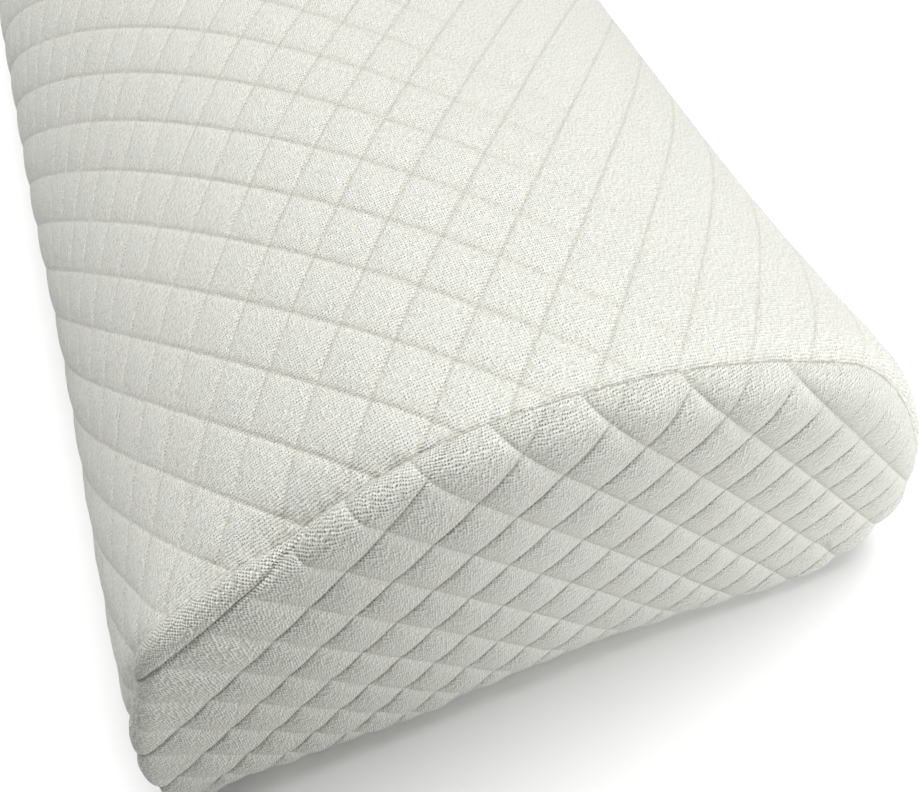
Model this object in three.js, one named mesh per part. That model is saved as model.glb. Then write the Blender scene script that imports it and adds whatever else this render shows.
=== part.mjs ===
// Half moon bolster pillow: a long cushion with a D-shaped section, lying on its flat base.
// A quilted knit wrap goes over the arch and under the base, and a D-shaped panel of the
// same quilted knit closes each end. All sizes in millimetres, +Z up.
// The long axis is Y, and the end at -Y is the near one.
import * as THREE from 'three';

// ---- section of the wrap, seen from the near end, x to the right ----
const CHORD = 200;             // width of the section
const HEIGHT = 123;            // base to the top of the arch
const TOP_OFFSET = -7.25;      // the arch is highest a little left of the middle
const ARCH_EXPONENT = 2.02;    // 2 is an ellipse
const LEFT_CORNER = { rise: 23.2, run: 23.2 };    // lower corner, a quarter ellipse
const RIGHT_CORNER = { rise: 28.7, run: 27.4 };
const BASE_STEPS = 12;         // facets over the flat base
const CORNER_STEPS = 8;        // facets in each lower corner
const ARCH_STEPS = 22;         // facets in each half of the arch

// ---- length ----
const SEAM_TO_SEAM = 506;      // between the two end seams
const SHOULDER_FLARE = 6.0;    // right side is fuller towards the end seams
const FLARE_REACH = 35;        // distance over which the flare fades
const SEAM_DRAW = { all: 0.5, right: 4.4, left: 1.2 };  // how far the seam pulls the wrap in
const SEAM_REACH = 2.6;        // distance over which the pull fades
// stations of the wrap, as distances from the nearer end seam
const STATIONS = [0, 1.3, 3, 5.5, 9, 15, 26, 45, 80, 140, 210];

// ---- ends ----
const DOME = 6.5;              // crown of the end panel past the seam
const DOME_REACH = 4.5;        // distance from the seam over which the crown rises
const PANEL_THICKNESS = 2.6;   // quilted knit in the middle of a cell
const PANEL_EDGE = 0.8;        // pressed flat in the seam
const GAP = 0.3;               // clear distance between the pieces
// rings of a panel, as fractions of the way out from its centre
const PANEL_RINGS = [1, 0.985, 0.965, 0.93, 0.86, 0.66, 0.36];

const COLOUR = 0xdedfd6;       // ivory white

// Outline of the section as points with outward normals, counter-clockwise from the
// left end of the flat base, and back to it over the right corner and the arch.
function sectionOutline() {
  const points = [];
  const add = (x, z, nx, nz) => {
    const n = Math.hypot(nx, nz);
    points.push({ x, z, nx: nx / n, nz: nz / n });
  };
  const half = CHORD / 2;
  const baseLeft = -half + LEFT_CORNER.run;
  const baseRight = half - RIGHT_CORNER.run;
  for (let i = 0; i < BASE_STEPS; i++) {
    add(baseLeft + (baseRight - baseLeft) * i / BASE_STEPS, 0, 0, -1);
  }
  for (let i = 0; i < CORNER_STEPS; i++) {
    const a = Math.PI / 2 * i / CORNER_STEPS;      // 0 at the base, up to the widest point
    const { rise, run } = RIGHT_CORNER;
    add(baseRight + run * Math.sin(a), rise - rise * Math.cos(a), Math.sin(a) / run, -Math.cos(a) / rise);
  }
  const archPoint = (t, side, width, corner) => {  // t from the top (0) to the widest point (1)
    const a = Math.PI / 2 * t;
    const s = Math.sin(a), c = Math.cos(a), p = 2 / ARCH_EXPONENT;
    const lift = HEIGHT - corner.rise;
    const x = TOP_OFFSET + side * width * s ** p;
    const z = corner.rise + lift * c ** p;
    add(x, z, side * s ** (2 - p) / width, c ** (2 - p) / lift);
  };
  for (let i = ARCH_STEPS; i > 0; i--) archPoint(i / ARCH_STEPS, 1, half - TOP_OFFSET, RIGHT_CORNER);
  for (let i = 0; i <= ARCH_STEPS; i++) archPoint(i / ARCH_STEPS, -1, half + TOP_OFFSET, LEFT_CORNER);
  for (let i = CORNER_STEPS - 1; i > 0; i--) {
    const a = Math.PI / 2 * i / CORNER_STEPS;
    const { rise, run } = LEFT_CORNER;
    add(baseLeft - run * Math.sin(a), rise - rise * Math.cos(a), -Math.sin(a) / run, -Math.cos(a) / rise);
  }
  return points;
}

// One ring of the wrap at a distance from the end seam: fuller on the right towards the
// end, and pulled in just at the seam.
function wrapRing(outline, distance) {
  const flare = SHOULDER_FLARE * Math.exp(-distance / FLARE_REACH);
  const pull = Math.exp(-distance / SEAM_REACH);
  return outline.map(({ x, z, nx, nz }) => {
    const right = Math.max(nx, 0) ** 2, left = Math.max(-nx, 0) ** 2;
    const up = nz > -0.999 ? 1 : 0;                // the flat base is not moved
    const draw = (SEAM_DRAW.all + SEAM_DRAW.right * right + SEAM_DRAW.left * left) * pull * up;
    const out = flare * right - draw;
    return { x: x + nx * out, z: Math.max(0, z + nz * out) };
  });
}

// Distance from a point to the closed outline of an end.
function distanceToOutline(x, z, ring) {
  let best = Infinity;
  for (let i = 0; i < ring.length; i++) {
    const a = ring[i], b = ring[(i + 1) % ring.length];
    const dx = b.x - a.x, dz = b.z - a.z;
    const t = Math.min(1, Math.max(0, ((x - a.x) * dx + (z - a.z) * dz) / (dx * dx + dz * dz)));
    best = Math.min(best, Math.hypot(x - a.x - t * dx, z - a.z - t * dz));
  }
  return best;
}

const rise = (distance) => 1 - Math.exp(-distance / DOME_REACH);

// Concentric rings and a centre point over the D, each vertex with its distance to the seam.
function endRings(seam) {
  let cx = 0, cz = 0;
  for (const p of seam) { cx += p.x / seam.length; cz += p.z / seam.length; }
  const rings = PANEL_RINGS.map((k) => seam.map((p) => {
    const x = cx + (p.x - cx) * k, z = cz + (p.z - cz) * k;
    return { x, z, d: k === 1 ? 0 : distanceToOutline(x, z, seam) };
  }));
  return { rings, centre: { x: cx, z: cz, d: distanceToOutline(cx, cz, seam) } };
}

// A closed solid from vertices and triangles.
class Solid {
  constructor() { this.vertices = []; this.faces = []; }
  ring(points, y) {
    const first = this.vertices.length / 3;
    for (const p of points) this.vertices.push(p.x, y(p), p.z);
    return { first, count: points.length };
  }
  point(p, y) { return this.ring([p], y).first; }
  // faces between two rings; seen from outside, a is on the -Y side when turn is 1
  band(a, b, turn) {
    for (let i = 0; i < a.count; i++) {
      const j = (i + 1) % a.count;
      const [p, q, r, s] = [a.first + i, a.first + j, b.first + j, b.first + i];
      if (turn > 0) this.faces.push(p, q, r, p, r, s); else this.faces.push(p, r, q, p, s, r);
    }
  }
  fan(a, centre, turn) {
    for (let i = 0; i < a.count; i++) {
      const j = (i + 1) % a.count;
      if (turn > 0) this.faces.push(a.first + i, a.first + j, centre);
      else this.faces.push(a.first + j, a.first + i, centre);
    }
  }
  // a face of rings closing in on its centre; side is -1 for one that looks to -Y
  face(outer, end, side, y) {
    let last = outer;
    for (const points of end.rings.slice(1)) {
      const next = this.ring(points, y);
      this.band(last, next, side < 0 ? 1 : -1);
      last = next;
    }
    this.fan(last, this.point(end.centre, y), side < 0 ? 1 : -1);
  }
  mesh(name) {
    const geometry = new THREE.BufferGeometry();
    geometry.setAttribute('position', new THREE.Float32BufferAttribute(this.vertices, 3));
    geometry.setIndex(this.faces);
    geometry.computeVertexNormals();
    const material = new THREE.MeshStandardMaterial({ color: COLOUR, roughness: 0.95, metalness: 0 });
    const mesh = new THREE.Mesh(geometry, material);
    mesh.name = name;
    return mesh;
  }
}

// The filled wrap, with a crowned face at each end under the panel.
function filledBody(outline, end) {
  const solid = new Solid();
  const half = SEAM_TO_SEAM / 2;
  const crown = (p) => (DOME - PANEL_THICKNESS) * rise(p.d);
  const stations = [...STATIONS.map((d) => [d, -half + d]), ...STATIONS.slice().reverse().map((d) => [d, half - d])];
  const rings = stations.map(([d, y]) => solid.ring(wrapRing(outline, d), () => y));
  for (let i = 0; i + 1 < rings.length; i++) solid.band(rings[i], rings[i + 1], -1);
  solid.face(rings[0], end, -1, (p) => -half - crown(p));
  solid.face(rings[rings.length - 1], end, 1, (p) => half + crown(p));
  return solid.mesh('filled_body');
}

// One end panel: a crowned sheet that lies on the end of the wrap, pressed thin at its seam.
function endPanel(name, end, side) {
  const solid = new Solid();
  const half = SEAM_TO_SEAM / 2;
  // wider along Y where the crown is steep, so the clear distance stays the same
  const gap = (p) => GAP * Math.hypot(1, (DOME - PANEL_THICKNESS) / DOME_REACH * Math.exp(-p.d / DOME_REACH));
  const inner = (p) => side * (half + gap(p) + (DOME - PANEL_THICKNESS) * rise(p.d));
  const outer = (p) => side * (half + gap(p) + PANEL_EDGE + (DOME - PANEL_EDGE - GAP) * rise(p.d));
  const seamInner = solid.ring(end.rings[0], inner);
  const seamOuter = solid.ring(end.rings[0], outer);
  solid.band(seamOuter, seamInner, side < 0 ? -1 : 1);
  solid.face(seamOuter, end, side, outer);
  solid.face(seamInner, end, -side, inner);
  return solid.mesh(name);
}

const outline = sectionOutline();
const end = endRings(wrapRing(outline, 0));

const pillow = new THREE.Group();
pillow.name = 'half_moon_bolster_pillow';
pillow.add(
  filledBody(outline, end),
  endPanel('end_panel_near', end, -1),
  endPanel('end_panel_far', end, 1),
);

// The pillow stands with the middle of its box over the origin.
const box = new THREE.Box3().setFromObject(pillow);
for (const mesh of pillow.children) {
  mesh.geometry.translate(-(box.min.x + box.max.x) / 2, -(box.min.y + box.max.y) / 2, -box.min.z);
}

export default pillow;
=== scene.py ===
"""Half moon bolster pillow: the quilted knit wrap, its two end panels and the seam threads.

Everything is worked out in millimetres in the pillow's own coordinates (x across, y from the
near end seam towards the far one, z up from the base) and moved to the frame at the end.
"""

import math

import bpy
import numpy as np
from mathutils import Matrix, Vector


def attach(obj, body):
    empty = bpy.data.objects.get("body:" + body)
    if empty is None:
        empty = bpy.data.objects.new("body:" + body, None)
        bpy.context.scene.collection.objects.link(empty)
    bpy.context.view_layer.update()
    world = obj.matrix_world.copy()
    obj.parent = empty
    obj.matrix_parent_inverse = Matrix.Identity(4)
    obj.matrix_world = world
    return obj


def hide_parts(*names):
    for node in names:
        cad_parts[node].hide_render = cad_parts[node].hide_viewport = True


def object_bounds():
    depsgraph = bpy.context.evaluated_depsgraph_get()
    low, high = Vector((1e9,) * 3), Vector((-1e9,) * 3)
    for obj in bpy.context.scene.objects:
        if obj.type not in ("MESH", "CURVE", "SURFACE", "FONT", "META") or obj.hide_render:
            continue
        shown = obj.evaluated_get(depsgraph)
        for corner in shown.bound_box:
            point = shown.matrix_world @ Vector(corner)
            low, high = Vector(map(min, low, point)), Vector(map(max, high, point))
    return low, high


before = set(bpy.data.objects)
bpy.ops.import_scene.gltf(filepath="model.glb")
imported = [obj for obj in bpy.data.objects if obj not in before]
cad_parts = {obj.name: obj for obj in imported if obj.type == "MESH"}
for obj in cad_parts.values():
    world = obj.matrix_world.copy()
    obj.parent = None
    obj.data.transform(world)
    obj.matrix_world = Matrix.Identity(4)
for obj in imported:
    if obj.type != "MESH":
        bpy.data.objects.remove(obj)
cad_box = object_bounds()
CAD_LOW = [float(c) for c in cad_box[0]]

# ---------------------------------------------------------------- sizes, as in the CAD (mm)
CHORD, HEIGHT = 200.0, 123.0
TOP_OFFSET, ARCH_EXPONENT = -7.25, 2.02
LEFT_RISE, LEFT_RUN = 23.2, 23.2
RIGHT_RISE, RIGHT_RUN = 28.7, 27.4
SEAM_TO_SEAM = 506.0
SHOULDER_FLARE, FLARE_REACH = 6.0, 35.0
DRAW_ALL, DRAW_RIGHT, DRAW_LEFT, SEAM_REACH = 0.5, 4.4, 1.2, 2.6
DOME, DOME_REACH = 6.5, 4.5

# from the pillow's own coordinates to the frame
SHIFT_X = CAD_LOW[0] * 1000 + CHORD / 2
SHIFT_Y = -SEAM_TO_SEAM / 2

# ---------------------------------------------------------------- quilting
# A quilted cell is a slanted square. One step of the lattice, in mm of cloth, for each line family.
WRAP_ORIGIN = np.array([-36.634, 87.132])
WRAP_STEP_U = np.array([8.102, -8.869])       # crisp lines are one of these apart
WRAP_STEP_V = np.array([-8.169, -9.956])      # soft channels are one of these apart
WRAP_AROUND = (35, 31)                        # steps that bring the quilting round the section
# how the cloth is eased where it was stretched over the filling: centre, and second-order terms
WRAP_EASE_CENTRE = (4.0, 0.0)
WRAP_EASE = np.array([[0.07049, -0.05289], [0.02872, -0.00974], [0.03922, 0.06023]])
EASE_REACH = 10.0
PANEL_ORIGIN = np.array([-24.10, 98.80])
PANEL_STEP_U = np.array([7.129, -10.094])
PANEL_STEP_V = np.array([8.885, 8.800])
PANEL_EASE_CENTRE = (2.0, -1.0)
PANEL_EASE = np.array([[-0.03037, -0.02662], [-0.01486, 0.08114], [0.09421, 0.07519]])
# where the mesh is cut inside one cell: close together beside the channels
WRAP_CUTS = np.array([0, 0.035, 0.10, 0.26, 0.5, 0.74, 0.90, 0.965])
NEAR_CUTS = np.array([0, 0.012, 0.03, 0.06, 0.10, 0.15, 0.21, 0.28, 0.35, 0.42, 0.50, 0.58, 0.65, 0.72, 0.79, 0.85, 0.90, 0.94, 0.97, 0.988])
FAR_CUTS = np.array([0, 0.035, 0.10, 0.18, 0.28, 0.39, 0.50, 0.61, 0.72, 0.82, 0.90, 0.965])


def smooth(t, low, high):
    t = np.clip((t - low) / (high - low), 0.0, 1.0)
    return t * t * (3 - 2 * t)


def saturate(t):
    return t / (1 + (t / EASE_REACH) ** 4) ** 0.25


def ease(i, j, centre, terms):
    p, q = saturate(i - centre[0]), saturate(j - centre[1])
    return p[:, None] ** 2 * terms[0] + (p * q)[:, None] * terms[1] + q[:, None] ** 2 * terms[2]


# ---------------------------------------------------------------- section of the wrap
def section_table():
    """The closed section as dense points: arc length from the top (plus to the right), x, z and outward normal."""
    half = CHORD / 2
    base_left, base_right = -half + LEFT_RUN, half - RIGHT_RUN
    middle = (base_left + base_right) / 2
    rows = []

    def base(x0, x1, n):
        for x in np.linspace(x0, x1, n, endpoint=False):
            rows.append((x, 0.0, 0.0, -1.0))

    def corner(side, centre, rise, run, angles):
        for a in angles:
            rows.append((centre + side * run * math.sin(a), rise - rise * math.cos(a), side * math.sin(a) / run, -math.cos(a) / rise))

    def arch(side, width, rise, ts):
        p, lift = 2 / ARCH_EXPONENT, HEIGHT - rise
        for t in ts:
            s, c = math.sin(math.pi / 2 * t), max(math.cos(math.pi / 2 * t), 0.0)
            rows.append((TOP_OFFSET + side * width * s ** p, rise + lift * c ** p, side * s ** (2 - p) / width, c ** (2 - p) / lift))

    quarter = np.linspace(0, math.pi / 2, 400, endpoint=False)
    base(middle, base_left, 200)
    corner(-1, base_left, LEFT_RISE, LEFT_RUN, quarter)
    arch(-1, half + TOP_OFFSET, LEFT_RISE, np.linspace(1, 0, 1500, endpoint=False))
    top = len(rows)
    arch(1, half - TOP_OFFSET, RIGHT_RISE, np.linspace(0, 1, 1500, endpoint=False))
    corner(1, base_right, RIGHT_RISE, RIGHT_RUN, (math.pi / 2 - quarter))
    base(base_right, middle, 200)
    rows.append((middle, 0.0, 0.0, -1.0))
    t = np.array(rows)
    t[:, 2:] /= np.linalg.norm(t[:, 2:], axis=1)[:, None]
    arc = np.r_[0, np.cumsum(np.hypot(np.diff(t[:, 0]), np.diff(t[:, 1])))]
    around = arc[-1]
    # the top is at 0, and the middle of the base is at plus and minus half the way round on the average
    return arc - arc[top], t, around, arc[top]


ARC, SECTION, AROUND, LEFT_ARC = section_table()


def section(u):
    u = (u + LEFT_ARC) % AROUND - LEFT_ARC
    return [np.interp(u, ARC, SECTION[:, k]) for k in range(4)]


def unevenness(u, v):
    """Slow swells of the filling, up to about half a millimetre."""
    return (0.30 * np.sin(u / 31.0 + 0.9) * np.sin(v / 43.0 + 0.4)
            + 0.22 * np.sin(u / 17.0 - v / 29.0 + 2.1)
            + 0.16 * np.sin(u / 11.0 + v / 19.0 + 4.0))


ROLL_RADIUS = DOME / 2
VIEW_RISE = (0.150, 0.553, -0.819)        # the slant that the roll was measured along: across, along and up


def roll_lie(x, nx, nz):
    """How far the end panel's rim is rolled over the seam, how far that seam is tucked in, and the roll's lean."""
    weight = smooth(-x, 0.0, 48.0) * smooth(nz, -0.97, -0.35)
    a, b = VIEW_RISE[0] * nx + VIEW_RISE[2] * nz, VIEW_RISE[1]
    tuck = np.clip((a * ROLL_RADIUS + ROLL_RADIUS * np.hypot(a, b)) / b, 0.0, 4.2)
    return weight, tuck, np.arctan2(-a, b)


def wrap_surface(u, v, tucked=True):
    """The wrap without its quilting."""
    x, z, nx, nz = section(u)
    d = np.minimum(v, SEAM_TO_SEAM - v)
    right, left = np.maximum(nx, 0) ** 2, np.maximum(-nx, 0) ** 2
    lifted = smooth(nz, -1.0, -0.9)
    draw = (DRAW_ALL + DRAW_RIGHT * right + DRAW_LEFT * left) * np.exp(-d / SEAM_REACH) * lifted
    out = SHOULDER_FLARE * right * np.exp(-d / FLARE_REACH) - draw
    out = out + 1.3 * smooth(nx, 0.2, 0.8) * lifted * (1 - 0.9 * np.exp(-d / 4.0)) - 1.2 * smooth(-nx, 0.1, 0.9) * lifted * np.exp(-d / 45.0)
    out = out + 1.6 * smooth(-nx, 0.1, 0.8) * lifted * smooth(d, 110.0, 250.0)
    # the shoulders of the seam are not quite even
    upper = smooth(z, 35.0, 60.0)
    uneven = 1.4 * np.exp(-((x + 79) / 9) ** 2) - 1.5 * np.exp(-((x + 40) / 13) ** 2) + 0.9 * np.exp(-((x - 66) / 8) ** 2) - 0.6 * np.exp(-((x - 91) / 8) ** 2)
    swell = 3.0 * np.exp(-((x + 76) / 9) ** 2) - 2.4 * np.exp(-((x + 51) / 8) ** 2) - 0.5 * np.exp(-((x + 36) / 9) ** 2) + 0.7 * np.exp(-((x - 73) / 8) ** 2)
    out = out + uneven * upper * np.exp(-d / 16.0) + swell * upper * np.exp(-d / 7.0)
    # the right side is fuller low down
    out = out + 2.4 * smooth(nx, 0.3, 0.85) * smooth(62 - z, 0.0, 30.0) * lifted * np.exp(-d / 14.0)
    out = out + unevenness(u, v) * lifted * smooth(d, 0, 12)
    if tucked:
        weight, tuck, _ = roll_lie(x, nx, nz)
        out = out - weight * tuck * np.exp(-(d / 3.4) ** 1.4)
    return np.c_[x + nx * out, v, np.maximum(z + nz * out, 0.0)]


# ---------------------------------------------------------------- lattice of the wrap
M, N = WRAP_AROUND
_miss = (np.array([AROUND, 0.0]) - (M * WRAP_STEP_U - N * WRAP_STEP_V)) / (M + N)
STEP_U, STEP_V = WRAP_STEP_U + _miss, WRAP_STEP_V - _miss      # now exactly periodic
MIDDLE_SHIFT = AROUND / 2 - LEFT_ARC                            # the base's middle, from half way round


def wrap_uv(i, j):
    """Cloth position (arc, length) of a lattice point."""
    lin = WRAP_ORIGIN + i[:, None] * STEP_U + j[:, None] * STEP_V
    fade = 1 - smooth(np.abs(lin[:, 0] - 0.0), 120.0, 250.0)
    return lin + fade[:, None] * ease(i, j, WRAP_EASE_CENTRE, WRAP_EASE)


# the crisp line that bounds the roll at the left runs a little aside of its even place
ROLL_LINE = -2.0
TIGHT_FROM = 4.6                  # the soft channel from which the crisp lines fade at the right
ROLL_LINE_AT = ([-7.0, -5.4, -4.9, -4.2, -3.6, -3.0, -2.6, -2.2, -1.7, -1.0, 0.2], [0.0, -0.20, -0.29, -0.31, -0.22, -0.12, -0.06, -0.01, 0.10, 0.20, 0.0])


def panel_uv(i, j):
    i = i + np.interp(j, *ROLL_LINE_AT) * np.exp(-((i - ROLL_LINE) / 0.62) ** 2)
    return PANEL_ORIGIN + i[:, None] * PANEL_STEP_U + j[:, None] * PANEL_STEP_V + ease(i, j, PANEL_EASE_CENTRE, PANEL_EASE)


def invert(fun, target, i, j, step_u, step_v):
    """Lattice coordinates of cloth positions, by Newton steps."""
    inv = np.linalg.inv(np.array([step_u, step_v]).T)
    for _ in range(12):
        miss = target - fun(i, j)
        move = miss @ inv.T
        i, j = i + move[:, 0], j + move[:, 1]
    return i, j


# ---------------------------------------------------------------- quilting relief
def puff(t):
    """A rounded cell: 0 on its lines, 1 in its middle."""
    t = t - np.floor(t)
    return 4 * t * (1 - t)


def groove(t, width):
    """1 on a line, falling to 0 over a part of a cell."""
    t = t - np.floor(t)
    return np.exp(-(np.minimum(t, 1 - t) / width) ** 2)


def mesh_normals(points, quads):
    a, b, c, d = (points[quads[:, k]] for k in range(4))
    n = np.cross(c - a, d - b)
    out = np.zeros_like(points)
    for k in range(4):
        np.add.at(out, quads[:, k], n)
    return out / np.maximum(np.linalg.norm(out, axis=1), 1e-12)[:, None]


def boundary_loops(quads):
    """Closed loops of the edges that belong to one face, in face order."""
    edges = np.concatenate([quads[:, [0, 1]], quads[:, [1, 2]], quads[:, [2, 3]], quads[:, [3, 0]]])
    edges = edges[edges[:, 0] != edges[:, 1]]
    big = int(edges.max()) + 1
    key, back = edges[:, 0] * big + edges[:, 1], edges[:, 1] * big + edges[:, 0]
    alone = ~np.isin(key, back)
    follow = dict(zip(edges[alone, 0].tolist(), edges[alone, 1].tolist()))
    loops = []
    while follow:
        start, nxt = next(iter(follow.items()))
        loop = [start]
        del follow[start]
        while nxt != start and nxt in follow:
            loop.append(nxt)
            nxt = follow.pop(nxt)
        loops.append(loop)
    return loops


def build(name, points, faces, maps=None):
    """A mesh object in the frame from points in the pillow's own millimetres."""
    p = (points + np.array([SHIFT_X, SHIFT_Y, 0.0])) * 0.001
    mesh = bpy.data.meshes.new(name)
    mesh.from_pydata(p.tolist(), [], faces)
    mesh.validate()
    for map_name, lattice in (maps or {}).items():
        layer = mesh.uv_layers.new(name=map_name)
        loop_vertex = np.zeros(len(mesh.loops), np.int64)
        mesh.loops.foreach_get("vertex_index", loop_vertex)
        start = np.zeros(len(mesh.polygons), np.int64)
        total = np.zeros(len(mesh.polygons), np.int64)
        mesh.polygons.foreach_get("loop_start", start)
        mesh.polygons.foreach_get("loop_total", total)
        first = np.repeat(loop_vertex[start], total)
        uv = lattice[loop_vertex].copy()
        # a face that crosses the line where the count starts again keeps to one side of it
        for turn in (1, -1):
            over = turn * (uv[:, 0] - lattice[first][:, 0]) > 0.6 * M
            uv[over] -= turn * np.array([M, N])
        layer.data.foreach_set("uv", uv.ravel().astype(np.float32))
    mesh.polygons.foreach_set("use_smooth", [True] * len(mesh.polygons))
    mesh.update()
    obj = bpy.data.objects.new(name, mesh)
    bpy.context.scene.collection.objects.link(obj)
    return obj


# ---------------------------------------------------------------- the wrap
def wrap_relief(u, v, z, i, j):
    d = np.minimum(v, SEAM_TO_SEAM - v)
    x, _, nx, nz = section(u)
    flank, right = smooth(-nx, 0.25, 0.8), smooth(nx, 0.0, 0.6)
    height = 0.57 + 0.04 * flank - 0.40 * right
    h = height * puff(i) ** 0.5 * puff(j)
    h = h - (0.08 * groove(i, 0.035) + 0.09 * (1 - right) * (0.45 + 0.55 * smooth(x, -80, -50)) * groove(j, 0.03))
    h = h * (0.25 + 0.75 * smooth(d, 0.0, 6.0))
    # a narrow crease beside the seam, where the turned-in edge lies under the cloth
    h = h - 0.55 * (0.35 + 0.65 * smooth(-x, -30, 60)) * np.exp(-((d - 3.0) / 0.8) ** 2)
    # small gathers that run out from the seam
    h = h + 0.18 * np.exp(-d / 7.0) * smooth(d, 0, 2) * np.sin(u / 1.9 + 1.3 * np.sin(u / 13.0))
    return h * smooth(z, 0.5, 14.0)


def make_wrap():
    n = len(WRAP_CUTS)
    reach = 46
    ci, cj = np.meshgrid(np.arange(-reach, reach + 1), np.arange(-reach, reach + 1), indexing="ij")
    ci, cj = ci.ravel(), cj.ravel()
    lin = WRAP_ORIGIN + (ci[:, None] + 0.5) * STEP_U + (cj[:, None] + 0.5) * STEP_V
    low = -LEFT_ARC
    keep = (lin[:, 0] >= low) & (lin[:, 0] < low + AROUND) & (lin[:, 1] > -14) & (lin[:, 1] < SEAM_TO_SEAM + 14)
    ci, cj = ci[keep], cj[keep]
    # fine vertices, named by whole numbers that don't change by going once round
    a, b = np.meshgrid(np.arange(n + 1), np.arange(n + 1), indexing="ij")
    I = (ci[:, None] * n + a.ravel()).reshape(len(ci), n + 1, n + 1)
    J = (cj[:, None] * n + b.ravel()).reshape(len(ci), n + 1, n + 1)
    invariant = N * I + M * J
    rest = I % (M * n)
    names = (invariant.astype(np.int64) + 10 ** 6) * (M * n) + rest
    flat, first, index = np.unique(names.ravel(), return_index=True, return_inverse=True)
    index = index.reshape(names.shape)
    If, Jf = I.ravel()[first], J.ravel()[first]
    i = If // n + WRAP_CUTS[If % n]
    j = Jf // n + WRAP_CUTS[Jf % n]
    # bring each one to the same turn
    lin = WRAP_ORIGIN + i[:, None] * STEP_U + j[:, None] * STEP_V
    turn = np.floor((lin[:, 0] - low) / AROUND)
    i, j = i - turn * M, j + turn * N
    uv = wrap_uv(i, j)
    u, v = uv[:, 0], uv[:, 1]
    # a cell that lies flat on the floor, clear of the seams, is one face
    flat_point = (section(u)[1] < 0.02) & (v > 1) & (v < SEAM_TO_SEAM - 1)
    flat_cell = flat_point[index.reshape(len(ci), -1)].all(1)
    rim = np.concatenate([index[flat_cell, :-1, 0], index[flat_cell, -1, :-1], index[flat_cell, :0:-1, -1], index[flat_cell, 0, :0:-1]], 1)
    index = index[~flat_cell]
    q = np.stack([index[:, :-1, :-1], index[:, :-1, 1:], index[:, 1:, 1:], index[:, 1:, :-1]], -1).reshape(-1, 4)
    inside = (v > 0) & (v < SEAM_TO_SEAM)
    q = q[inside[q].any(1)]
    v = np.clip(v, 0, SEAM_TO_SEAM)
    used = np.unique(np.r_[q.ravel(), rim.ravel()])
    remap = np.full(len(u), -1)
    remap[used] = np.arange(len(used))
    q, rim = remap[q], remap[rim][:, ::-1]
    u, v, i, j = u[used], v[used], i[used], j[used]
    i, j = invert(wrap_uv, np.c_[u, v], i, j, STEP_U, STEP_V)
    points = wrap_surface(u, v)
    normals = mesh_normals(points, q)
    normals[np.abs(normals).sum(1) == 0] = (0, 0, -1)
    middle = points[:, [0, 2]] - np.array([0, 45.0])
    if ((normals[:, [0, 2]] * middle).sum(1)).mean() < 0:
        q, rim = q[:, ::-1], rim[:, ::-1]
        normals = -normals
    h = wrap_relief(u, v, points[:, 2], i, j)
    points = points + normals * h[:, None]
    points[:, 2] = np.maximum(points[:, 2], 0.0)
    faces = q.tolist() + rim.tolist()
    extra, lattice = [points], [np.c_[i, -j]]
    count = len(points)
    for seam in (0.0, SEAM_TO_SEAM):
        at = v == seam
        loop = [l for l in boundary_loops(q) if at[l].all()]
        for l in loop:
            extra.append(points[l].mean(0)[None])
            lattice.append(lattice[0][l].mean(0)[None])
            faces += [[l[(k + 1) % len(l)], l[k], count] for k in range(len(l))]
            count += 1
    lattice = np.concatenate(lattice)
    return build("quilted_wrap", np.concatenate(extra), faces, {"quilt": lattice, "knit": lattice})


# ---------------------------------------------------------------- the end panels
def seam_outline(n=1600, tucked=False):
    u = np.linspace(-LEFT_ARC, AROUND - LEFT_ARC, n, endpoint=False)
    p = wrap_surface(u, np.zeros(n), tucked)[:, [0, 2]]
    t = np.roll(p, -1, 0) - np.roll(p, 1, 0)
    t /= np.linalg.norm(t, axis=1)[:, None]
    return p, np.c_[-t[:, 1], t[:, 0]]


OUTLINE, OUTLINE_NORMAL = seam_outline()


def to_outline(p):
    """Signed distance inwards from the seam outline, and the foot's position and outward normal."""
    d = np.zeros(len(p))
    foot = np.zeros((len(p), 2))
    normal = np.zeros((len(p), 2))
    a, b = OUTLINE, np.roll(OUTLINE, -1, 0)
    coarse = OUTLINE[::4]
    for s in range(0, len(p), 20000):
        w = p[s:s + 20000]
        k = ((w[:, None, :] - coarse[None]) ** 2).sum(-1).argmin(1) * 4
        best = np.full(len(w), 1e9)
        f, nn = np.zeros_like(w), np.zeros_like(w)
        for step in range(-4, 4):
            m = (k + step) % len(a)
            e = b[m] - a[m]
            t = np.clip(((w - a[m]) * e).sum(1) / (e * e).sum(1), 0, 1)
            c = a[m] + t[:, None] * e
            g = np.hypot(*(w - c).T)
            better = g < best
            best = np.where(better, g, best)
            f[better] = c[better]
            nn[better] = OUTLINE_NORMAL[m[better]]
        sign = np.where(((w - f) * nn).sum(1) > 0, -1.0, 1.0)
        d[s:s + 20000], foot[s:s + 20000], normal[s:s + 20000] = best * sign, f, nn
    return d, foot, normal


TURN = math.radians(26.0)          # how much the roll turns for each mm of its width


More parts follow.
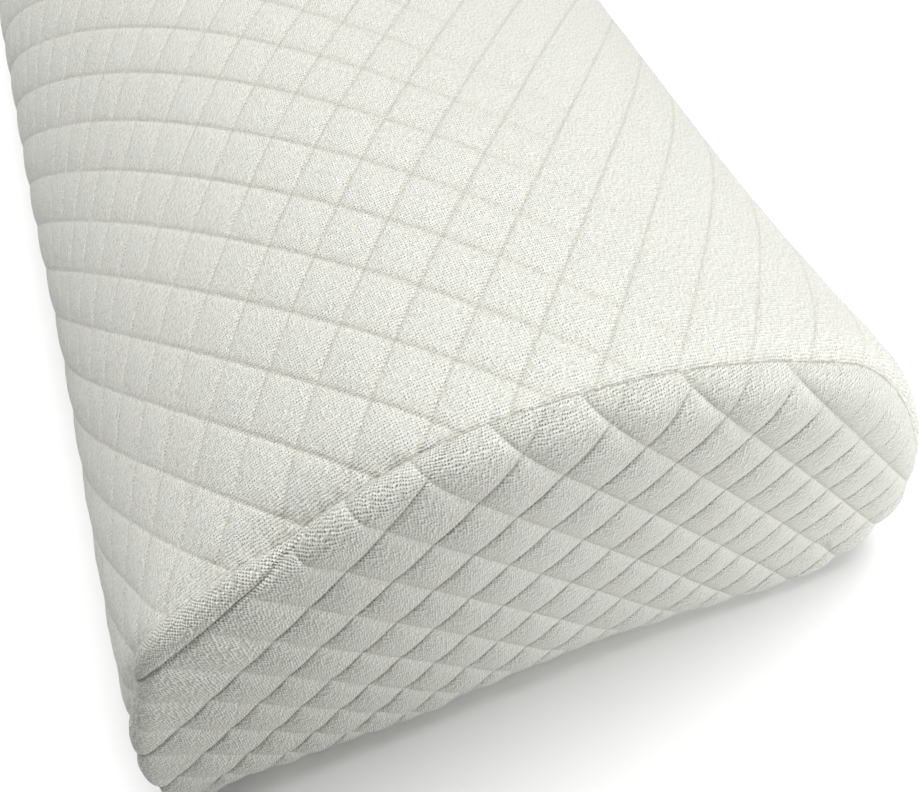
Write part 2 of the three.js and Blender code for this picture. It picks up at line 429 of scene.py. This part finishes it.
def rim_profile(d, weight, tuck, lean):
    """The panel's cross-section at its rim: how far out, how far forward, and the width at which the seam lies.
    Where the weight is 0 the panel just turns down to the seam; where it is 1 it rolls out over the seam."""
    start = (lean - math.pi / 2) / TURN - 1.15
    shift = -weight * start
    fade = np.exp(-np.maximum(d + shift, 0) / 3.0)
    da = np.maximum(d + shift * fade, 0.0)
    db = d + (start + shift) * fade
    plain_out, plain_y = -da, DOME * (1 - np.exp(-da / DOME_REACH))
    front = (lean + math.pi / 2) / TURN - 1.15
    angle = np.clip(lean - TURN * (db + 1.15), -math.pi / 2, math.pi / 2)
    on_roll = db < front
    roll_out = np.where(on_roll, -tuck + ROLL_RADIUS * np.cos(angle), -db + (front - tuck) * np.exp(-(db - front) / DOME_REACH))
    roll_y = np.where(on_roll, ROLL_RADIUS * (1 - np.sin(angle)), DOME)
    return (1 - weight) * plain_out + weight * roll_out, (1 - weight) * plain_y + weight * roll_y, -shift


def panel_surface(p, d, foot, normal):
    """The panel without its quilting (its middle left flat), and for each point the width at which the seam lies."""
    weight, tuck, lean = roll_lie(foot[:, 0], normal[:, 0], normal[:, 1])
    out, forward, seam_at = rim_profile(np.minimum(d, 60.0), weight, tuck, lean)
    out = np.where(d > 60.0, -d, out)
    # the lower edge is pulled back a little, and not evenly
    x = p[:, 0]
    pull = 3.7 + 0.5 * np.sin(x / 17.0 + 1.0) - 4.2 * smooth(x, 20, 80) + 1.0 * smooth(-x, 40, 80)
    pull = pull - 1.7 * np.exp(-((x + 36) / 12) ** 2) - 0.5 * np.exp(-((x + 64) / 12) ** 2) + 2.3 * smooth(-x, 78, 92) - 1.5 * smooth(x, 14, 28)
    forward = forward - pull * np.exp(-(np.maximum(p[:, 1], 0) / 13.0) ** 2) * smooth(d, 0, 8)
    points = np.c_[foot[:, 0] + normal[:, 0] * out, -0.15 - forward, foot[:, 1] + normal[:, 1] * out]
    deep = (d > 25.0)[:, None]                 # the middle of the face stays where it is
    flat = np.c_[p[:, 0], -0.15 - forward, p[:, 1]]
    points = np.where(deep, flat, points)
    return points, seam_at


def make_panel(name, side, cuts):
    n = len(cuts)
    reach = 24
    ci, cj = np.meshgrid(np.arange(-reach, reach + 1), np.arange(-reach, reach + 1), indexing="ij")
    ci, cj = ci.ravel(), cj.ravel()
    mid = panel_uv(ci + 0.5, cj + 0.5)
    keep = (mid[:, 0] > -112) & (mid[:, 0] < 118) & (mid[:, 1] > -12) & (mid[:, 1] < 135)
    ci, cj = ci[keep], cj[keep]
    a, b = np.meshgrid(np.arange(n + 1), np.arange(n + 1), indexing="ij")
    I = (ci[:, None] * n + a.ravel()).reshape(len(ci), n + 1, n + 1)
    J = (cj[:, None] * n + b.ravel()).reshape(len(ci), n + 1, n + 1)
    names = (I.astype(np.int64) + 10 ** 4) * 10 ** 5 + J + 10 ** 4
    flat, first, index = np.unique(names.ravel(), return_index=True, return_inverse=True)
    index = index.reshape(names.shape)
    If, Jf = I.ravel()[first], J.ravel()[first]
    i = If // n + cuts[If % n]
    j = Jf // n + cuts[Jf % n]
    p = panel_uv(i, j)
    d, foot, normal = to_outline(p)
    _, seam_at = panel_surface(p, d, foot, normal)
    q = np.stack([index[:, :-1, :-1], index[:, :-1, 1:], index[:, 1:, 1:], index[:, 1:, :-1]], -1).reshape(-1, 4)
    q = q[(d > seam_at)[q].any(1)]
    outside = d < seam_at
    d = np.maximum(d, seam_at)
    p = np.where(outside[:, None], foot - normal * d[:, None], p)
    used = np.unique(q)
    remap = np.full(len(p), -1)
    remap[used] = np.arange(len(used))
    q = remap[q]
    p, d, i, j, foot, normal, seam_at = p[used], d[used], i[used], j[used], foot[used], normal[used], seam_at[used]
    i, j = invert(panel_uv, p, i, j, PANEL_STEP_U, PANEL_STEP_V)
    points, _ = panel_surface(p, d, foot, normal)
    vn = mesh_normals(points, q)
    if vn[:, 1].mean() > 0:
        q, vn = q[:, ::-1], -vn
    left, low = smooth(-p[:, 0], -20, 60), smooth(60 - p[:, 1], -20, 50)
    height = 1.30 + 0.75 * left * (0.4 + 0.6 * low)
    # the soft channels die away towards the seam at the left
    across = puff(j) ** 0.8
    across = across + (0.72 - across) * smooth(-foot[:, 0], 0.0, 30.0) * (1 - smooth(d - seam_at, 3.0, 14.0)) * 0.9
    # and the crisp lines at the right, where the cloth is drawn tight round the end
    tight = smooth(j, TIGHT_FROM, TIGHT_FROM + 0.5)
    along = puff(i) ** 0.6
    along = along + (0.80 - along) * 0.55 * tight
    h = height * along * across - 0.45
    h = h - 0.08 * groove(i, 0.020) * (1 - 0.7 * tight) - 0.04 * groove(j, 0.03)
    h = h * (0.45 + 0.55 * smooth(p[:, 1], 1.0, 13.0))
    # the roll at the left is one smooth swelling from the first crisp line to the seam
    rolled = smooth(-foot[:, 0], 22.0, 44.0) * smooth(foot[:, 1], 55.0, 75.0) * smooth(ROLL_LINE - i, -0.06, 0.02)
    swollen = 1.35 * puff(np.clip(ROLL_LINE - i, 0.0, 0.5)) ** 0.55 - 0.6 - 0.35 * groove(i, 0.03)
    h = h + rolled * (swollen - h)
    h = h * smooth(d - seam_at, 0.0, 4.5)
    points = points + vn * h[:, None]
    points[:, 2] = np.maximum(points[:, 2], 0.0)
    # the cloth is longer than it looks where it turns down to the seam, so its loops are counted along it
    widths = np.linspace(0, 30, 601)
    cloth = p.copy()
    weight, tuck, lean = roll_lie(foot[:, 0], normal[:, 0], normal[:, 1])
    for part in (0.0, 1.0):
        for at, rise in ((0.6, 0.8), (0.2, 0.98)):
            a_, b_ = VIEW_RISE[0] * -0.8 + VIEW_RISE[2] * at, VIEW_RISE[1]
            w = part + 0 * widths
            t = w * 0 + np.clip((a_ * ROLL_RADIUS + ROLL_RADIUS * math.hypot(a_, b_)) / b_, 0.0, 2.8)
            o, f, s0 = rim_profile(widths + 0 * w, w, t, w * 0 + math.atan2(-a_, b_))
            lead = -float(s0[0])
            ws = np.linspace(-lead, 30, 700)
            o, f, _ = rim_profile(ws, ws * 0 + part, ws * 0 + t[0], ws * 0 + math.atan2(-a_, b_))
            seg = np.hypot(np.diff(o), np.diff(f)) - np.diff(ws)
            longer = np.r_[np.cumsum(seg[::-1])[::-1], 0]
            share = 0.5 * (weight if part else 1 - weight)
            cloth = cloth + normal * (share * np.interp(d, ws, longer))[:, None]
    ki, kj = invert(panel_uv, cloth, i, j, PANEL_STEP_U, PANEL_STEP_V)
    loops = boundary_loops(q)
    loop = max(loops, key=len)
    centre = np.array([[0.0, -0.12, 50.0]])
    count = len(points)
    allp = np.concatenate([points, centre])
    faces = q.tolist() + [[loop[(k + 1) % len(loop)], loop[k], count] for k in range(len(loop))]
    lattice = np.concatenate([np.c_[i, j], [[0.0, 0.0]]])
    knit = np.concatenate([np.c_[ki, kj], [[0.0, 0.0]]])
    if side > 0:                              # the far end is the near one turned about
        allp = allp * np.array([1, -1, 1]) + np.array([0, SEAM_TO_SEAM, 0])
        faces = [f[::-1] for f in faces]
    return build(name, allp, faces, {"quilt": lattice, "knit": knit})


# ---------------------------------------------------------------- seam threads
def make_threads(name, side):
    """Small stitches that show in the seam, one after another round the panel."""
    pitch, length, radius = 1.5, 1.15, 0.13
    line = seam_outline(1600, True)[0]
    closed = np.r_[line, line[:1]]
    arc = np.r_[0, np.cumsum(np.hypot(*np.diff(closed, axis=0).T))]
    count = int(arc[-1] / pitch)
    points, faces = [], []
    ring = 6
    for k in range(count):
        s = (k + 0.5) * arc[-1] / count
        c = np.array([np.interp(s, arc, closed[:, m]) for m in (0, 1)])
        e = np.array([np.interp((s + 0.3) % arc[-1], arc, closed[:, m]) for m in (0, 1)]) - c
        if np.hypot(*e) > 1.0 or np.hypot(*e) < 1e-6:
            continue
        e /= np.hypot(*e)
        out = np.array([-e[1], e[0]])
        if c[1] < 2.5 and abs(e[1]) < 0.35:
            continue                          # under the pillow, pressed on the floor
        lean = 0.10 * math.sin(k * 2.7)
        axis = np.array([e[0], lean, e[1]])
        axis /= np.linalg.norm(axis)
        up = np.array([out[0], -0.25, out[1]])
        across = np.cross(axis, up)
        across /= np.linalg.norm(across)
        up = np.cross(across, axis)
        mid = np.array([c[0], -0.08, c[1]]) - 0.02 * up
        stations = [(-0.5, 0.0), (-0.46, 0.55), (-0.34, 0.9), (0, 1.0), (0.34, 0.9), (0.46, 0.55), (0.5, 0.0)]
        start = len(points)
        points.append(mid + axis * stations[0][0] * length)
        for f, w in stations[1:-1]:
            bow = 0.05 * (1 - (2 * f) ** 2)
            for a in range(ring):
                t = 2 * math.pi * a / ring
                points.append(mid + axis * f * length + up * bow + radius * w * (math.cos(t) * across + math.sin(t) * up))
        points.append(mid + axis * stations[-1][0] * length)
        last = len(points) - 1
        for a in range(ring):
            b = (a + 1) % ring
            faces.append([start, start + 1 + a, start + 1 + b])
            for r in range(len(stations) - 3):
                o = start + 1 + r * ring
                faces.append([o + b, o + a, o + ring + a, o + ring + b])
            o = start + 1 + (len(stations) - 3) * ring
            faces.append([o + b, o + a, last])
    p = np.array(points)
    p[:, 2] = np.maximum(p[:, 2], 0.02)
    if side > 0:
        p = p * np.array([1, -1, 1]) + np.array([0, SEAM_TO_SEAM, 0])
        faces = [f[::-1] for f in faces]
    return build(name, p, faces)


# ---------------------------------------------------------------- materials
class Nodes:
    """Shorthand for a chain of maths nodes."""

    def __init__(self, name):
        self.material = bpy.data.materials.new(name)
        self.material.use_nodes = True
        self.tree = self.material.node_tree
        self.tree.nodes.clear()

    def node(self, kind, **settings):
        n = self.tree.nodes.new(kind)
        for k, v in settings.items():
            setattr(n, k, v)
        return n

    def put(self, socket, value):
        if isinstance(value, bpy.types.NodeSocket):
            self.tree.links.new(value, socket)
        else:
            socket.default_value = value

    def math(self, operation, a, b=0.0, c=0.0, clamp=False):
        n = self.node("ShaderNodeMath", operation=operation, use_clamp=clamp)
        self.put(n.inputs[0], a)
        self.put(n.inputs[1], b)
        if len(n.inputs) > 2:
            self.put(n.inputs[2], c)
        return n.outputs[0]

    def add(self, a, b):
        return self.math("ADD", a, b)

    def sub(self, a, b):
        return self.math("SUBTRACT", a, b)

    def mul(self, a, b):
        return self.math("MULTIPLY", a, b)

    def bell(self, distance, width):
        """1 on a line, falling to 0 over a width."""
        r = self.math("DIVIDE", distance, width)
        return self.math("EXPONENT", self.mul(self.mul(r, r), -1.0))

    def noise(self, vector, scale, detail=2.0, roughness=0.5):
        n = self.node("ShaderNodeTexNoise")
        self.put(n.inputs["Vector"], vector)
        n.inputs["Scale"].default_value = scale
        n.inputs["Detail"].default_value = detail
        n.inputs["Roughness"].default_value = roughness
        return n.outputs["Fac"]

    def mix(self, factor, a, b):
        n = self.node("ShaderNodeMix", data_type="RGBA")
        self.put(n.inputs[0], factor)
        self.put(n.inputs[6], a)
        self.put(n.inputs[7], b)
        return n.outputs[2]


WALES, COURSES = 31.0, 30.0        # knit loops across and along one quilted diamond
CELL = 12.3                        # mm along one side of a quilted cell


def knit_material(name, base, bright, shade, crease, dark, uneven_tone, pit_tone, line_depth, line_tone, channel_tone, fade_right):
    g = Nodes(name)
    quilt = g.node("ShaderNodeUVMap", uv_map="quilt").outputs[0]
    knit = g.node("ShaderNodeUVMap", uv_map="knit").outputs[0]
    place = g.node("ShaderNodeTexCoord").outputs["Object"]
    split = g.node("ShaderNodeSeparateXYZ")
    g.put(split.inputs[0], quilt)
    p, q = split.outputs[0], split.outputs[1]
    split = g.node("ShaderNodeSeparateXYZ")
    g.put(split.inputs[0], knit)
    kp, kq = split.outputs[0], split.outputs[1]

    # knit loops: columns (wales) of little V shapes, each loop a bit different from its neighbours
    wander = g.sub(g.noise(place, 560.0, 3.0), 0.5)
    across = g.add(g.mul(g.add(kp, kq), 0.5 * WALES), g.mul(wander, 1.9))
    along = g.add(g.mul(g.sub(kp, kq), 0.5 * COURSES), g.mul(wander, -1.6))
    column = g.math("FLOOR", across)
    off = g.math("ABSOLUTE", g.sub(g.math("FRACT", across), 0.5))             # 0 in the middle of a column, 0.5 between two
    slant = g.add(along, g.mul(off, 0.9))
    row = g.math("FLOOR", slant)
    step = g.sub(g.math("FRACT", slant), 0.5)
    joined = g.node("ShaderNodeCombineXYZ")
    g.put(joined.inputs[0], column)
    g.put(joined.inputs[1], row)
    chance = g.node("ShaderNodeTexWhiteNoise", noise_dimensions="2D")
    g.put(chance.inputs["Vector"], joined.outputs[0])
    luck = chance.outputs["Value"]
    between = g.mul(off, 2.0)                                                   # 1 where two columns meet
    legs = g.math("ABSOLUTE", g.sub(g.mul(off, 4.0), 1.0))                      # 0 on the two legs of a V
    bend = g.mul(g.mul(step, step), 4.0)                                        # 1 where two loops of a column meet
    corner_off = g.sub(g.math("FRACT", g.add(across, 0.5)), 0.5)                # 0 where two columns meet
    corner_step = g.sub(g.math("FRACT", g.add(slant, 0.5)), 0.5)
    joined = g.node("ShaderNodeCombineXYZ")
    g.put(joined.inputs[0], g.math("FLOOR", g.add(across, 0.5)))
    g.put(joined.inputs[1], g.math("FLOOR", g.add(slant, 0.5)))
    chance = g.node("ShaderNodeTexWhiteNoise", noise_dimensions="2D")
    g.put(chance.inputs["Vector"], joined.outputs[0])
    pit = g.mul(g.mul(g.bell(corner_off, 0.29), g.bell(corner_step, 0.26)), g.add(0.25, g.mul(chance.outputs["Value"], 1.25)))
    if not fade_right:                                                          # painted shade: the knit's pits and loop tone darken towards the panel's left corner
        spread = g.node("ShaderNodeSeparateXYZ")
        g.put(spread.inputs[0], place)
        left_shade = g.math("MULTIPLY_ADD", spread.outputs[0], -1.0 / 0.055, -0.15, clamp=True)
        pit = g.mul(pit, g.add(1.0, g.mul(left_shade, 0.9)))
        uneven_tone = g.add(uneven_tone, g.mul(left_shade, 0.45))
    loop = g.mul(g.sub(1.0, g.mul(bend, g.add(0.45, g.mul(between, 0.45)))), g.mul(g.sub(1.0, g.mul(legs, 0.22)), g.add(0.5, g.mul(luck, 0.6))))

    # yarn tension differs from column to column
    joined = g.node("ShaderNodeCombineXYZ")
    g.put(joined.inputs[0], g.mul(across, 0.42))
    g.put(joined.inputs[1], g.mul(along, 0.045))
    streak = g.noise(joined.outputs[0], 1.0, 2.0, 0.6)

    # distance to the nearest crisp line and soft channel, in mm
    to_line = g.mul(g.sub(0.5, g.math("ABSOLUTE", g.sub(g.math("FRACT", p), 0.5))), CELL)
    to_channel = g.mul(g.sub(0.5, g.math("ABSOLUTE", g.sub(g.math("FRACT", q), 0.5))), CELL)
    beat = g.add(0.62, g.mul(g.math("COSINE", g.mul(along, 2 * math.pi)), 0.38))
    line = g.mul(g.bell(to_line, 0.36), beat)
    if not fade_right:
        line = g.mul(line, g.math("MULTIPLY_ADD", q, -0.6, 0.6 * TIGHT_FROM + 1.0, clamp=True))
    channel = g.mul(g.bell(to_channel, 0.55), g.add(0.8, g.mul(beat, 0.2)))
    if fade_right:
        spread = g.node("ShaderNodeSeparateXYZ")
        g.put(spread.inputs[0], place)
        ramp = g.math("MULTIPLY_ADD", spread.outputs[0], -1.0 / 0.045, 0.9, clamp=True)
        channel = g.mul(channel, g.add(0.15, g.mul(ramp, 0.85)))
        channel = g.mul(channel, g.add(0.45, g.mul(g.math("MULTIPLY_ADD", spread.outputs[0], 1.0 / 0.030, 2.6, clamp=True), 0.55)))
        below = g.math("MULTIPLY_ADD", g.math("FRACT", q), -CELL / 3.2, 1.0, clamp=True)      # painted shade on the underside of each soft channel
        side = g.math("MULTIPLY_ADD", spread.outputs[0], 1.0 / 0.030, 2.6, clamp=True)
        channel_shade = g.mul(g.mul(below, below), g.mul(g.mul(ramp, side), 0.20))
    else:
        # painted shade: the underside of each soft channel is darkened towards the crease colour, except on the roll
        below = g.math("MULTIPLY_ADD", g.math("FRACT", q), -CELL / 4.2, 1.0, clamp=True)
        flat = g.math("MULTIPLY_ADD", p, 5.0, -5.0 * ROLL_LINE, clamp=True)                             # not on the roll at the left seam
        channel_shade = g.mul(g.mul(below, below), g.mul(flat, 0.23))
        puff_highlight = g.math("MULTIPLY_ADD", g.math("FRACT", q), CELL / 4.2, 1.0 - CELL / 4.2, clamp=True)      # painted highlight on the upper edge of each puff

    # colour: slow cloudiness, loop by loop variation, darker pits and creases, painted shade under the soft channels
    # and painted highlight on the puffs
    cloud = g.noise(place, 14.0, 3.0)
    grain = g.noise(place, 1100.0, 2.0, 0.7)
    c = g.mix(g.mul(g.math("SUBTRACT", cloud, 0.35, clamp=True), 0.7), base, shade)
    c = g.mix(g.math("MULTIPLY", g.sub(streak, 0.48), 0.7, clamp=True), c, shade)
    c = g.mix(g.math("MULTIPLY", g.sub(grain, 0.36), 2.4, clamp=True), c, shade)
    if fade_right:                                                              # fuzz of the yarn, which shows most on the left flank
        speck = g.noise(place, 1500.0, 1.0, 0.6)
        flank = g.math("MULTIPLY_ADD", spread.outputs[0], -1.0 / 0.045, -0.45, clamp=True)
        strength = g.add(0.22, g.mul(flank, 0.45))
        c = g.mix(g.mul(g.math("MULTIPLY", g.sub(speck, 0.50), 5.0, clamp=True), strength), c, (0.56, 0.555, 0.48, 1))
        c = g.mix(g.mul(g.math("MULTIPLY", g.sub(0.46, speck), 5.0, clamp=True), strength), c, bright)
    c = g.mix(g.mul(g.math("SUBTRACT", luck, 0.45, clamp=True), 1.3), c, bright)
    c = g.mix(g.mul(g.math("SUBTRACT", 0.55, luck, clamp=True), uneven_tone), c, crease)
    c = g.mix(g.math("MULTIPLY", pit, pit_tone, clamp=True), c, dark)
    # painted shade under the soft channels
    c = g.mix(channel_shade, c, crease)
    if not fade_right:
        # painted highlight along the upper edge of each puff
        c = g.mix(g.mul(g.mul(puff_highlight, puff_highlight), g.mul(flat, 0.30)), c, bright)
    c = g.mix(g.math("MULTIPLY", line, line_tone, clamp=True), c, crease)
    c = g.mix(g.math("MULTIPLY", channel, channel_tone, clamp=True), c, crease)

    # height in metres
    height = g.mul(loop, 0.00030)
    height = g.add(height, g.mul(grain, 0.00026))
    height = g.add(height, g.mul(streak, 0.00004))
    if fade_right:
        line = g.mul(line, g.sub(1.0, g.mul(flank, 0.6)))
    height = g.sub(height, g.mul(line, line_depth))
    height = g.sub(height, g.mul(channel, 0.00015))
    bump = g.node("ShaderNodeBump")
    bump.inputs["Strength"].default_value = 0.85
    bump.inputs["Distance"].default_value = 1.0
    g.put(bump.inputs["Height"], height)

    shader = g.node("ShaderNodeBsdfPrincipled")
    g.put(shader.inputs["Base Color"], c)
    shader.inputs["Roughness"].default_value = 0.92
    shader.inputs["Specular IOR Level"].default_value = 0.18
    shader.inputs["Sheen Weight"].default_value = 0.22
    shader.inputs["Sheen Roughness"].default_value = 0.45
    shader.inputs["Sheen Tint"].default_value = (1.0, 1.0, 0.97, 1.0)
    g.put(shader.inputs["Normal"], bump.outputs[0])
    out = g.node("ShaderNodeOutputMaterial")
    g.put(out.inputs[0], shader.outputs[0])
    return g.material


def thread_material():
    g = Nodes("seam_thread")
    place = g.node("ShaderNodeTexCoord").outputs["Object"]
    twist = g.noise(place, 1800.0, 1.0)
    c = g.mix(twist, (0.40, 0.39, 0.31, 1), (0.62, 0.61, 0.52, 1))
    bump = g.node("ShaderNodeBump")
    bump.inputs["Strength"].default_value = 0.6
    bump.inputs["Distance"].default_value = 1.0
    g.put(bump.inputs["Height"], g.mul(twist, 0.0001))
    shader = g.node("ShaderNodeBsdfPrincipled")
    g.put(shader.inputs["Base Color"], c)
    shader.inputs["Roughness"].default_value = 0.7
    shader.inputs["Sheen Weight"].default_value = 0.15
    g.put(shader.inputs["Normal"], bump.outputs[0])
    out = g.node("ShaderNodeOutputMaterial")
    g.put(out.inputs[0], shader.outputs[0])
    return g.material


def floor_material():
    g = Nodes("pale_floor")
    place = g.node("ShaderNodeTexCoord").outputs["Object"]
    c = g.mix(g.noise(place, 3.0), (0.93, 0.93, 0.93, 1), (0.95, 0.95, 0.95, 1))
    shader = g.node("ShaderNodeBsdfPrincipled")
    g.put(shader.inputs["Base Color"], c)
    shader.inputs["Roughness"].default_value = 0.9
    shader.inputs["Specular IOR Level"].default_value = 0.1
    out = g.node("ShaderNodeOutputMaterial")
    g.put(out.inputs[0], shader.outputs[0])
    return g.material


knit_wrap = knit_material("quilted_knit_wrap", (0.91, 0.915, 0.86, 1), (0.97, 0.97, 0.94, 1), (0.78, 0.78, 0.73, 1), (0.50, 0.485, 0.38, 1), (0.33, 0.33, 0.28, 1), 0.55, 0.85, 0.00022, 0.42, 0.17, True)
knit_panel = knit_material("quilted_knit_panel", (0.90, 0.905, 0.85, 1), (0.97, 0.97, 0.93, 1), (0.74, 0.745, 0.69, 1), (0.42, 0.42, 0.34, 1), (0.22, 0.22, 0.18, 1), 0.75, 1.0, 0.00026, 0.24, 0.10, False)
thread = thread_material()

# ---------------------------------------------------------------- pieces
wrap = make_wrap()
wrap.data.materials.append(knit_wrap)
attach(wrap, "root")
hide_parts("filled_body")

for name, side, cuts in (("near", -1, NEAR_CUTS), ("far", 1, FAR_CUTS)):
    panel = make_panel("quilted_panel_" + name, side, cuts)
    panel.data.materials.append(knit_panel)
    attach(panel, "root")
    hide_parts("end_panel_" + name)
    threads = make_threads("seam_threads_" + name, side)
    threads.data.materials.append(thread)
    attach(threads, "root")

# ---------------------------------------------------------------- stage, light and camera
floor_mesh = bpy.data.meshes.new("floor")
floor_mesh.from_pydata([(-6, -6, 0), (6, -6, 0), (6, 6, 0), (-6, 6, 0)], [], [(0, 1, 2, 3)])
floor = bpy.data.objects.new("floor", floor_mesh)
bpy.context.scene.collection.objects.link(floor)
floor.data.materials.append(floor_material())

world = bpy.data.worlds.new("soft_studio")
bpy.context.scene.world = world
world.use_nodes = True
world.node_tree.nodes["Background"].inputs[0].default_value = (1.0, 1.0, 1.0, 1)
world.node_tree.nodes["Background"].inputs[1].default_value = 0.06


def area_light(name, place, target, size, power, spread=180):
    data = bpy.data.lights.new(name, "AREA")
    data.shape = "DISK"
    data.size = size
    data.energy = power
    data.spread = math.radians(spread)
    light = bpy.data.objects.new(name, data)
    light.location = place
    light.rotation_euler = (Vector(target) - Vector(place)).to_track_quat("-Z", "Y").to_euler()
    light.visible_camera = False
    bpy.context.scene.collection.objects.link(light)
    return light


area_light("overhead", (0.19, 0.22, 2.2), (0.0, -0.05, 0.05), 1.7, 57.5)
area_light("back_right", (0.84, 0.92, 1.80), (0.0, -0.05, 0.05), 1.9, 5.0)
area_light("front", (0.22, -0.99, 1.96), (0.0, -0.05, 0.05), 1.9, 3.5)
area_light("end_fill", (0.22, -0.56, 0.17), (0.10, -0.26, 0.06), 0.22, 0.47)
area_light("end_side", (0.21, -0.40, 0.09), (0.10, -0.26, 0.05), 0.12, 0.12)

# the camera where the photograph was taken from, in the pillow's own coordinates
FOCAL_PIXELS, FRAME_WIDTH = 997.2, 924
EYE = np.array([-38.0, -88.3, 263.5])
RIGHT = np.array([0.936509, -0.345227, -0.061397])
DOWN = np.array([-0.316862, -0.758223, -0.569821])
AHEAD = np.array([0.150164, 0.553097, -0.819472])
camera_data = bpy.data.cameras.new("camera")
camera_data.sensor_width = 36.0
camera_data.lens = FOCAL_PIXELS * camera_data.sensor_width / FRAME_WIDTH
camera_data.clip_start = 0.01
camera = bpy.data.objects.new("camera", camera_data)
spot = (EYE + np.array([SHIFT_X, SHIFT_Y, 0.0])) * 0.001
camera.matrix_world = Matrix((
    (RIGHT[0], -DOWN[0], -AHEAD[0], spot[0]),
    (RIGHT[1], -DOWN[1], -AHEAD[1], spot[1]),
    (RIGHT[2], -DOWN[2], -AHEAD[2], spot[2]),
    (0, 0, 0, 1),
))
bpy.context.scene.collection.objects.link(camera)
bpy.context.scene.camera = camera
bpy.context.scene.view_settings.view_transform = "Standard"
